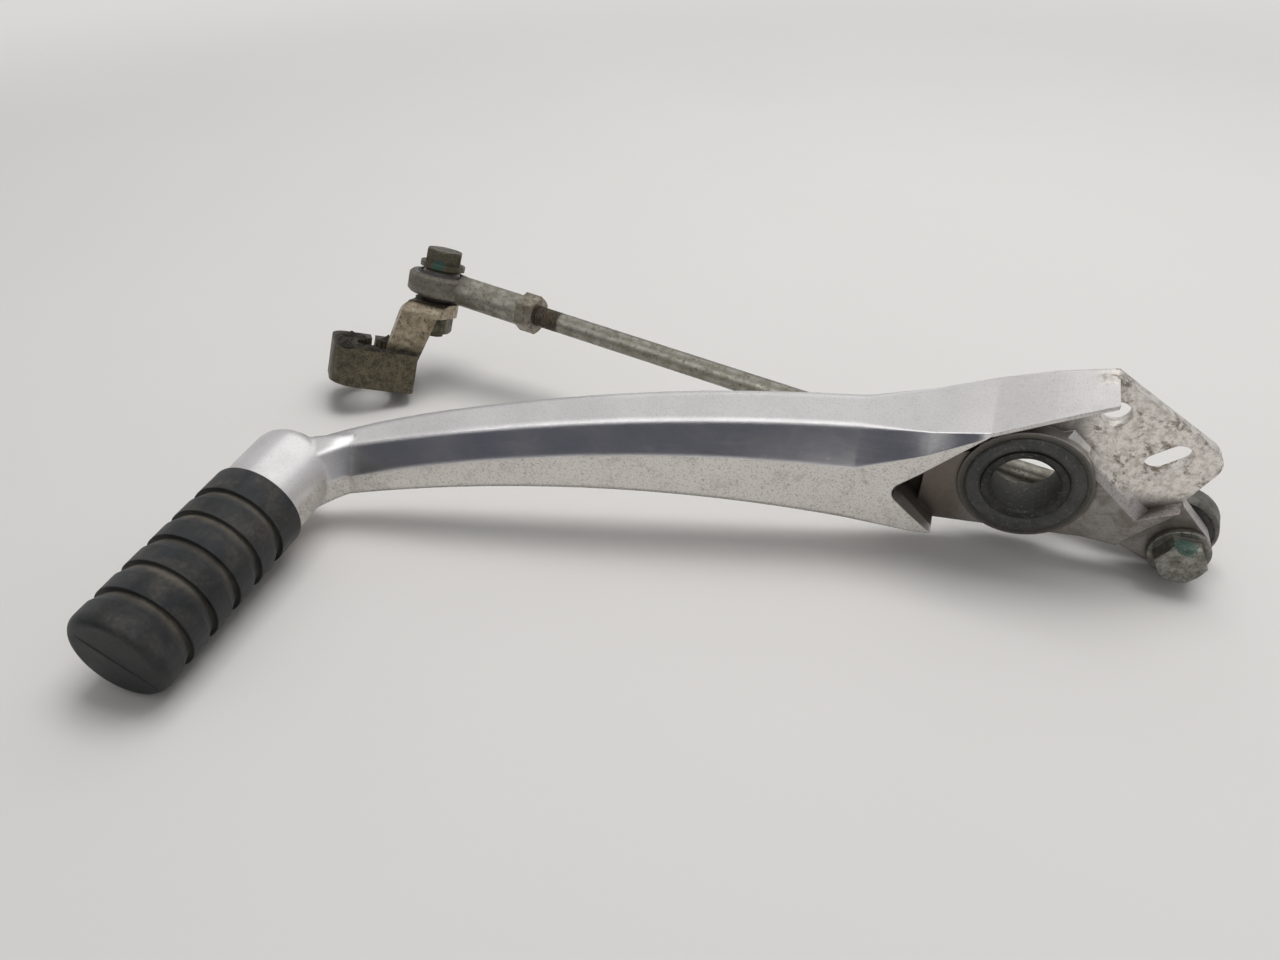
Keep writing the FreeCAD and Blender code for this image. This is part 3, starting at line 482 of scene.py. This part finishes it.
finishes = {
    "pedal_alloy": alloy(),
    "peg_rubber": rubber(),
    "seal_rubber": seal(),
    "race_liner": liner(),
    "boot_rubber": boot(),
    "bush_steel": greasy_bush(),
    "bolt_zinc": dirty_metal(
        "bolt_zinc_dirty", (0.31, 0.31, 0.28), (0.15, 0.147, 0.125), (0.065, 0.061, 0.048),
        (0.14, 0.105, 0.07), 330.0, 0.32, marks=((rear_mark, REAR_MARK_RADIUS, GREEN),)),
    "rod_zinc": dirty_metal(
        "rod_zinc_dull", (0.35, 0.34, 0.30), (0.235, 0.225, 0.185), (0.12, 0.108, 0.082),
        (0.16, 0.115, 0.075), 260.0, 0.34, grime_from=0.56,
        zones=((thread_zone, (0.035, 0.028, 0.020), (0.085, 0.068, 0.048)),
               (rear_eye_zone, (0.045, 0.044, 0.040), (0.12, 0.118, 0.108)))),
    "joint_steel": dirty_metal(
        "joint_steel_aged", (0.38, 0.365, 0.315), (0.24, 0.228, 0.19), (0.085, 0.076, 0.057),
        (0.15, 0.105, 0.065), 300.0, 0.36, grime_from=0.53,
        zones=((eye_zone, (0.09, 0.08, 0.062), (0.19, 0.175, 0.145)),)),
    "ball_steel": dirty_metal(
        "ball_steel_ground", (0.55, 0.55, 0.53), (0.40, 0.395, 0.375), (0.16, 0.145, 0.115),
        (0.20, 0.15, 0.10), 300.0, 0.2, grime_from=0.6),
    "arm_steel": dirty_metal(
        "arm_steel_oily", (0.50, 0.43, 0.325), (0.24, 0.20, 0.14), (0.030, 0.025, 0.017),
        (0.07, 0.045, 0.027), 290.0, 0.30, grime_from=0.52,
        zones=((clamp_zone, (0.125, 0.108, 0.066), (0.045, 0.038, 0.025)),
               (clamp_top_zone, (0.016, 0.014, 0.011), (0.055, 0.047, 0.035)))),
}
dark_bolt = dirty_metal(
    "front_bolt_olive", (0.15, 0.14, 0.105), (0.085, 0.077, 0.055), (0.035, 0.031, 0.023),
    (0.12, 0.08, 0.045), 330.0, 0.36, marks=((front_mark, FRONT_MARK_RADIUS, GREEN),))
dark_thread = dirty_metal(
    "thread_grimy", (0.13, 0.11, 0.08), (0.06, 0.05, 0.035), (0.025, 0.021, 0.015),
    (0.10, 0.06, 0.035), 500.0, 0.4, edge=0.0002)
brown_nut = dirty_metal(
    "lock_nut_brown", (0.34, 0.31, 0.25), (0.20, 0.175, 0.135), (0.06, 0.053, 0.039),
    (0.13, 0.085, 0.05), 330.0, 0.34)
own_finish = {"front_joint_bolt": dark_bolt, "front_joint_nut": dark_bolt, "front_lock_nut": brown_nut}
slot_of = {piece["node"]: piece["material_slot"] for piece in frame["record"]["subparts"]}
for name, node in frame["nodes"].items():
    node.data.materials.clear()
    node.data.materials.append(own_finish.get(name, finishes[slot_of[name]]))


# Pieces that the solids leave plain, in millimetres

def add_piece(name, build, place, body, slot, finish=None):
    """A mesh drawn in its own axes in millimetres, set in place and tied to a body."""
    shape = bmesh.new()
    build(shape)
    bmesh.ops.recalc_face_normals(shape, faces=shape.faces)
    mesh = bpy.data.meshes.new(name)
    shape.to_mesh(mesh)
    shape.free()
    mesh.transform(place @ Matrix.Scale(MM, 4))
    mesh.materials.append(finish or finishes[slot])
    piece = bpy.data.objects.new(name, mesh)
    bpy.context.scene.collection.objects.link(piece)
    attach(piece, body)


def sweep(shape, sections):
    """Closed skin over rings of points."""
    rings = [[shape.verts.new(point) for point in section] for section in sections]
    count = len(rings[0])
    for first, second in zip(rings, rings[1:]):
        for step in range(count):
            after = (step + 1) % count
            shape.faces.new((first[step], first[after], second[after], second[step]))
    shape.faces.new(rings[0])
    shape.faces.new(list(reversed(rings[-1])))


def rise_and_fall(step, steps, run):
    """0 at both ends of a row of steps, rising to 1 over a run of steps."""
    return min(1.0, step / run, (steps - step) / run)


def thread(start, length, root, crest, pitch):
    """Ridge of a screw thread round the Z axis, thinning out at both ends."""
    per_turn, run_out, thinnest = 28, 10.0, 0.05
    foot = pitch * 0.46
    land = foot * 0.18

    def build(shape):
        steps = int(per_turn * length / pitch)
        sections = []
        for step in range(steps + 1):
            turn = FULL_TURN * step / per_turn
            tip = root + (crest - root) * max(rise_and_fall(step, steps, run_out), thinnest)
            height = start + length * step / steps
            profile = ((root, -foot), (tip, -land), (tip, land), (root, foot))
            sections.append([(radius * math.cos(turn), radius * math.sin(turn), height + rise)
                             for radius, rise in profile])
        sweep(shape, sections)
    return build


def splines(count, root, crest, length, gap_turn, gap):
    """Teeth inside a bore round Z, left out where the slit is."""
    half = math.pi / count
    foot, land = half * 0.85, half * 0.25

    def build(shape):
        for tooth in range(count):
            turn = 2.0 * half * tooth
            if abs((turn - gap_turn + math.pi) % FULL_TURN - math.pi) < gap:
                continue
            corners = ((root, turn - foot), (crest, turn - land), (crest, turn + land), (root, turn + foot))
            sweep(shape, [[(radius * math.cos(at), radius * math.sin(at), height) for radius, at in corners]
                          for height in (-length / 2.0, length / 2.0)])
    return build


def grease(inner, half_wide, half_deep, top):
    """Lumpy skin on a block's flat top, round a bore on Z, open at +Y where the slit is."""
    steps, across, open_turn, end_run = 96, 10, 0.22, 5.0
    inner_sink, skin_sink, outer_sink, outer_tuck = 0.5, 0.12, 0.9, 0.6
    ragged, film, lump_height, crumb_height = 0.35, 0.35, 1.8, 0.45
    lump_shift = Vector((4.0, 1.0, 3.0))

    def rim(turn):
        wide = abs(math.cos(turn)) / half_wide
        deep = abs(math.sin(turn)) / half_deep
        return (wide ** 4 + deep ** 4) ** -0.25

    def build(shape):
        sections = []
        for step in range(steps + 1):
            turn = math.pi / 2.0 + open_turn + (FULL_TURN - 2.0 * open_turn) * step / steps
            way = Vector((math.cos(turn), math.sin(turn), 0.0))
            reach = rim(turn) + ragged * noise.noise(way * 9.0)
            ends = rise_and_fall(step, steps, end_run)
            profile = [way * inner + Z * (top - inner_sink)]
            for place in range(across + 1):
                share = place / across
                point = way * (inner + (reach - inner) * share)
                lump = max(0.0, noise.noise(point * 0.30 + lump_shift) + 0.25)
                crumb = noise.noise(point * 1.1)
                swell = min(1.0, 5.0 * share + 0.1, 5.0 * (1.0 - share) + 0.1) * ends
                thick = swell * (film + lump_height * lump + crumb_height * crumb)
                profile.append(point + Z * (top - skin_sink + thick))
            profile.append(way * (reach - outer_tuck) + Z * (top - outer_sink))
            sections.append(profile)
        sweep(shape, sections)
    return build


def mould_line(start, end, width, proud):
    """Low rounded rib between two points on a flat face, in its X and Y."""
    steps, thinnest = 12, 0.15
    profile = ((-1.0, -0.3), (-0.75, 0.55), (0.0, 1.0), (0.75, 0.55), (1.0, -0.3))

    def build(shape):
        first, last = Vector(start), Vector(end)
        side = (last - first).normalized().orthogonal() * width
        sections = []
        for step in range(steps + 1):
            share = step / steps
            point = first.lerp(last, share)
            swell = proud * max(thinnest, min(1.0, 5.0 * share, 5.0 * (1.0 - share)))
            sections.append([(point.x + side.x * across, point.y + side.y * across, rise * swell)
                             for across, rise in profile])
        sweep(shape, sections)
    return build


rod_place = axes(front_ball, bolt_up, -rod_across, rod_back)
rear_place = axes(rear_ball, X, -Z, Y)
front_place = axes(front_ball, strip_along, -strip_back, -bolt_up)
clamp_place = axes(clamp_middle, strip_along, strip_back, bolt_up)
cap_place = axes(cap, X, Z, -Y)

bolt_tail = {"length": 1.2, "root": 3.9, "crest": 4.1, "pitch": 0.8}
add_piece("rod_thread", thread(start=42.6, length=8.3, root=3.3, crest=3.62, pitch=1.0), rod_place,
          "rod", "rod_zinc", dark_thread)
add_piece("rear_bolt_thread", thread(start=12.6, **bolt_tail), rear_place, "pedal", "bolt_zinc")
add_piece("front_bolt_thread", thread(start=17.6, **bolt_tail), front_place,
          "clamp_arm", "bolt_zinc", dark_thread)
add_piece("clamp_splines",
          splines(count=32, root=7.06, crest=6.5, length=14.2, gap_turn=math.pi / 2.0, gap=0.2),
          clamp_place, "clamp_arm", "arm_steel")
add_piece("clamp_grease", grease(inner=7.3, half_wide=14.5, half_deep=10.6, top=7.2), clamp_place,
          "clamp_arm", "arm_steel", black_grease())
add_piece("cap_mould_line", mould_line(start=(-9.0, 6.0), end=(9.5, -7.0), width=0.32, proud=0.28), cap_place,
          "pedal", "peg_rubber")


# Floor and studio flag

SEEN_RAYS = ("Is Camera Ray", "Is Glossy Ray", "Is Transmission Ray")
ROOM_LOW, ROOM_HIGH = (0.80, 0.80, 0.805, 1.0), (1.0, 0.985, 0.98, 1.0)
FADE_FROM, FADE_WIDTH, FADE_STRENGTH = 0.35, 1.1, 0.36


def plain(name, low, high, rough):
    shade = Shade(name)
    field = shade.noise(6.0, 3.0)
    shade.set(Base_Color=shade.mix(field, low, high), Roughness=rough, Specular_IOR_Level=0.0)
    return shade


def pale_floor():
    """Plain floor that fades into the pale room far away from the part, where the lamps don't reach."""
    shade = plain("floor_pale", (0.72, 0.712, 0.70), (0.75, 0.74, 0.73), 0.6)
    path = shade.nodes.new("ShaderNodeLightPath")
    seen = shade.most(*(path.outputs[ray] for ray in SEEN_RAYS))
    close = shade.near((0.0, 0.0, 0.0), FADE_FROM, FADE_WIDTH)
    glow = shade.span(close, 1.0, 0.0, 0.0, FADE_STRENGTH)
    shade.set(Emission_Color=ROOM_LOW, Emission_Strength=shade.times(seen, glow))
    return shade.material


def sheet(name, corners, material):
    mesh = bpy.data.meshes.new(name)
    mesh.from_pydata(corners, [], [tuple(range(len(corners)))])
    mesh.materials.append(material)
    panel = bpy.data.objects.new(name, mesh)
    bpy.context.scene.collection.objects.link(panel)
    return panel


# The part lies on the clamp's heel, the rear eye and the rubber, so the floor leans in the part's frame.
heel_rest = Vector((-0.22041, 0.03657, -0.03598))
eye_rest = Vector((0.04383, 0.00514, -0.02547))
rubber_rest = Vector((-0.20882, -0.1232, -0.02678))
floor_up = (heel_rest - eye_rest).cross(rubber_rest - eye_rest).normalized()
floor_up *= math.copysign(1.0, floor_up.z)
floor_turn = Z.rotation_difference(floor_up)
floor_middle = Z * (heel_rest.dot(floor_up) / floor_up.z)


def on_floor(x, y, height):
    return floor_middle + floor_turn @ Vector((x, y, height))


REACH, SINK = 40.0, -0.0001
sheet("floor", [on_floor(-REACH, -REACH, SINK), on_floor(REACH, -REACH, SINK),
                on_floor(REACH, REACH, SINK), on_floor(-REACH, REACH, SINK)], pale_floor())

# A dark card stands in front of the part, unseen by the camera, as a studio flag for the polished faces.
FLAG_NEAR, FLAG_FAR, FLAG_LOW, FLAG_TOP, FLAG_HALF = -0.22, -1.0, 0.001, 0.30, 1.4
flag_slate = plain("card_slate", (0.080, 0.084, 0.110), (0.088, 0.092, 0.118), 0.9).material
flag = sheet("dark_card", [
    on_floor(-FLAG_HALF, FLAG_FAR, FLAG_TOP), on_floor(FLAG_HALF, FLAG_FAR, FLAG_TOP),
    on_floor(FLAG_HALF, FLAG_NEAR, FLAG_LOW), on_floor(-FLAG_HALF, FLAG_NEAR, FLAG_LOW)], flag_slate)
flag.visible_camera = False
flag.visible_diffuse = False
flag.visible_shadow = False


# Pale room: the camera and the metal see it brighter than its diffuse light, so that the window casts a shadow

SEEN_STRENGTH, FILL_STRENGTH, ROOM_TOP = 0.66, 0.38, 0.9
world = bpy.data.worlds.new("soft_room")
bpy.context.scene.world = world
world.use_nodes = True
sky = world.node_tree
background = sky.nodes["Background"]
direction = sky.nodes.new("ShaderNodeTexCoord")
split = sky.nodes.new("ShaderNodeSeparateXYZ")
fade = sky.nodes.new("ShaderNodeValToRGB")
low, high = fade.color_ramp.elements
low.position, low.color = 0.0, ROOM_LOW
high.position, high.color = ROOM_TOP, ROOM_HIGH
sky.links.new(direction.outputs["Generated"], split.inputs[0])
sky.links.new(split.outputs["Z"], fade.inputs[0])
sky.links.new(fade.outputs[0], background.inputs["Color"])

path = sky.nodes.new("ShaderNodeLightPath")
seen = path.outputs[SEEN_RAYS[0]]
for ray in SEEN_RAYS[1:]:
    either = sky.nodes.new("ShaderNodeMath")
    either.operation = "MAXIMUM"
    sky.links.new(seen, either.inputs[0])
    sky.links.new(path.outputs[ray], either.inputs[1])
    seen = either.outputs[0]
level = sky.nodes.new("ShaderNodeMapRange")
level.inputs["To Min"].default_value = FILL_STRENGTH
level.inputs["To Max"].default_value = SEEN_STRENGTH
sky.links.new(seen, level.inputs["Value"])
sky.links.new(level.outputs[0], background.inputs["Strength"])


# Lamps and camera

def lamp(name, place, target, size, power, colour):
    light = bpy.data.lights.new(name, "AREA")
    light.shape = "RECTANGLE"
    light.size, light.size_y = size
    light.energy = power
    light.color = colour
    holder = bpy.data.objects.new(name, light)
    holder.location = place
    holder.rotation_euler = (Vector(target) - Vector(place)).to_track_quat("-Z", "Y").to_euler()
    bpy.context.scene.collection.objects.link(holder)
    return holder


PEDAL_MIDDLE, WHITE, WINDOW_WHITE = (-0.05, 0.0, 0.0), (1.0, 1.0, 1.0), (1.0, 0.99, 0.97)
window = lamp("window", (0.0, 0.30, 1.05), PEDAL_MIDDLE, (0.9, 0.5), 7.4, WINDOW_WHITE)
window.visible_glossy = False
lamp("back_glow", (0.0, 0.75, 0.90), PEDAL_MIDDLE, (1.6, 0.9), 2.0, WHITE)
ceiling = lamp("ceiling", (-0.05, -0.66, 0.80), (-0.08, 0.0, 0.0), (1.1, 0.5), 2.9, WHITE)
ceiling.visible_diffuse = False

camera = bpy.data.cameras.new("photo_view")
camera.sensor_fit = "HORIZONTAL"
camera.sensor_width = 36.0
camera.lens = 27.08
camera.clip_start = 0.01
eye = bpy.data.objects.new("photo_view", camera)
eye_place = Vector((-0.0407, -0.2327, 0.1729))
view_up = Vector((-0.193, 0.613, 0.766)).normalized()
view_back = Vector((0.230, -0.731, 0.643)).normalized()
eye.matrix_world = axes(eye_place, view_up.cross(view_back), view_up, view_back)
bpy.context.scene.collection.objects.link(eye)
bpy.context.scene.camera = eye
bpy.context.scene.view_settings.view_transform = "Standard"
